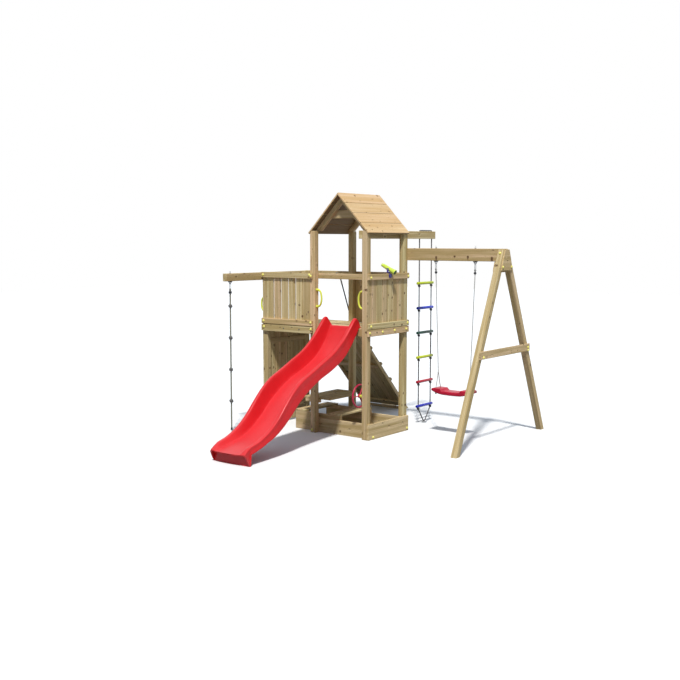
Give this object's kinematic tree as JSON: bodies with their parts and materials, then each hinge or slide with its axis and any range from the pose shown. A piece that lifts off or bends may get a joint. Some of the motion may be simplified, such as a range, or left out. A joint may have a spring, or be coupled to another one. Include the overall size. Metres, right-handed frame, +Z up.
{
  "type": "wooden climbing playset",
  "caption": "Wooden garden playset: roofed tower, wave slide, annex with climbing ramp, knotted climbing rope, rope ladder and a swing on an A-frame.",
  "frame": {"origin": "on the ground, under the centre of the bounding box", "axes": "+Z up, +X from the annex towards the swing's A-frame, +Y from the slide towards the climbing ramp"},
  "size_m": [2.8504, 3.96, 2.72],
  "materials": {
    "treated_pine": "planed, pressure treated",
    "roof_pine": "planed",
    "slide_red": "moulded, satin",
    "seat_red": "moulded",
    "wheel_red": "moulded",
    "handle_yellow": "moulded",
    "telescope_lime": "moulded",
    "fork_violet": "moulded",
    "zinc_steel": "zinc plated",
    "ladder_rope": "laid polypropylene rope",
    "swing_rope": "laid polypropylene rope",
    "climb_rope": "laid polypropylene rope",
    "rung_lime": "moulded",
    "rung_blue": "moulded",
    "rung_green": "moulded",
    "rung_yellow": "moulded",
    "rung_crimson": "moulded"
  },
  "bodies": {
    "frame": {"climb_hook": "zinc_steel", "crossbar": "treated_pine", "deck_annex": "treated_pine", "deck_tower": "treated_pine", "gable_front": "treated_pine", "gable_rear": "treated_pine", "gusset_inner": "treated_pine", "gusset_outer": "treated_pine", "handle_slide_left": "handle_yellow", "handle_slide_right": "handle_yellow", "handle_wall_front": "handle_yellow", "hook_left": "zinc_steel", "hook_right": "zinc_steel", "ladder_anchor": "zinc_steel", "ladder_beam": "treated_pine", "ladder_rope": "ladder_rope", "leg_front": "treated_pine", "leg_rear": "treated_pine", "panel_annex_front": "treated_pine", "panel_rear": "treated_pine", "panel_right": "treated_pine", "picnic_benches": "treated_pine", "picnic_table": "treated_pine", "post_annex_front": "treated_pine", "post_annex_rear": "treated_pine", "post_front_left": "treated_pine", "post_front_right": "treated_pine", "post_rear_left": "treated_pine", "post_rear_right": "treated_pine", "rail_annex_rear": "treated_pine", "rail_front": "treated_pine", "ramp_deck": "treated_pine", "ramp_frame": "treated_pine", "ramp_rope": "ladder_rope", "roof_left": "roof_pine", "roof_right": "roof_pine", "rope_beam": "treated_pine", "rung_1": "rung_lime", "rung_2": "rung_blue", "rung_3": "rung_green", "rung_4": "rung_yellow", "rung_5": "rung_crimson", "rung_6": "rung_blue", "sandbox_front": "treated_pine", "sandbox_rear": "treated_pine", "sandbox_right": "treated_pine", "slide": "slide_red", "swing_beam": "treated_pine", "wall_left": "treated_pine", "wheel_mount": "handle_yellow"},
    "swing": {"seat": "seat_red", "swing_link_left": "zinc_steel", "swing_link_right": "zinc_steel", "swing_rope_left": "swing_rope", "swing_rope_right": "swing_rope"},
    "climb_link": {"climb_link": "zinc_steel"},
    "climb_rope": {"climb_rope": "climb_rope"},
    "telescope_fork": {"telescope_fork": "fork_violet"},
    "telescope_tube": {"telescope_tube": "telescope_lime"},
    "steering_wheel": {"steering_wheel": "wheel_red"}
  },
  "joints": [
    {"name": "swing_hang", "type": "hinge", "parent": "frame", "child": "swing", "pos_m": [0.7695, 0.6453, 1.938], "axis": [1, 0, 0], "range_deg": [-50, 50]},
    {"name": "climb_link_hang", "type": "hinge", "parent": "frame", "child": "climb_link", "pos_m": [-1.3963, -0.696, 1.703], "axis": [1, 0, 0], "range_deg": [-50, 15]},
    {"name": "climb_rope_hang", "type": "hinge", "parent": "climb_link", "child": "climb_rope", "pos_m": [-1.3963, -0.696, 1.6358], "axis": [0, 1, 0], "range_deg": [-25, 50]},
    {"name": "telescope_pan", "type": "hinge", "parent": "frame", "child": "telescope_fork", "pos_m": [0.1698, 0.22, 1.83], "axis": [0, 0, 1], "range_deg": [-30, 30]},
    {"name": "telescope_tilt", "type": "hinge", "parent": "telescope_fork", "child": "telescope_tube", "pos_m": [0.1698, 0.22, 1.88], "axis": [0, 1, 0], "range_deg": [-40, 5]},
    {"name": "wheel_spin", "type": "hinge", "parent": "frame", "child": "steering_wheel", "pos_m": [0.032, -0.145, 0.481], "axis": [1, 0, 0], "continuous": true}
  ]
}
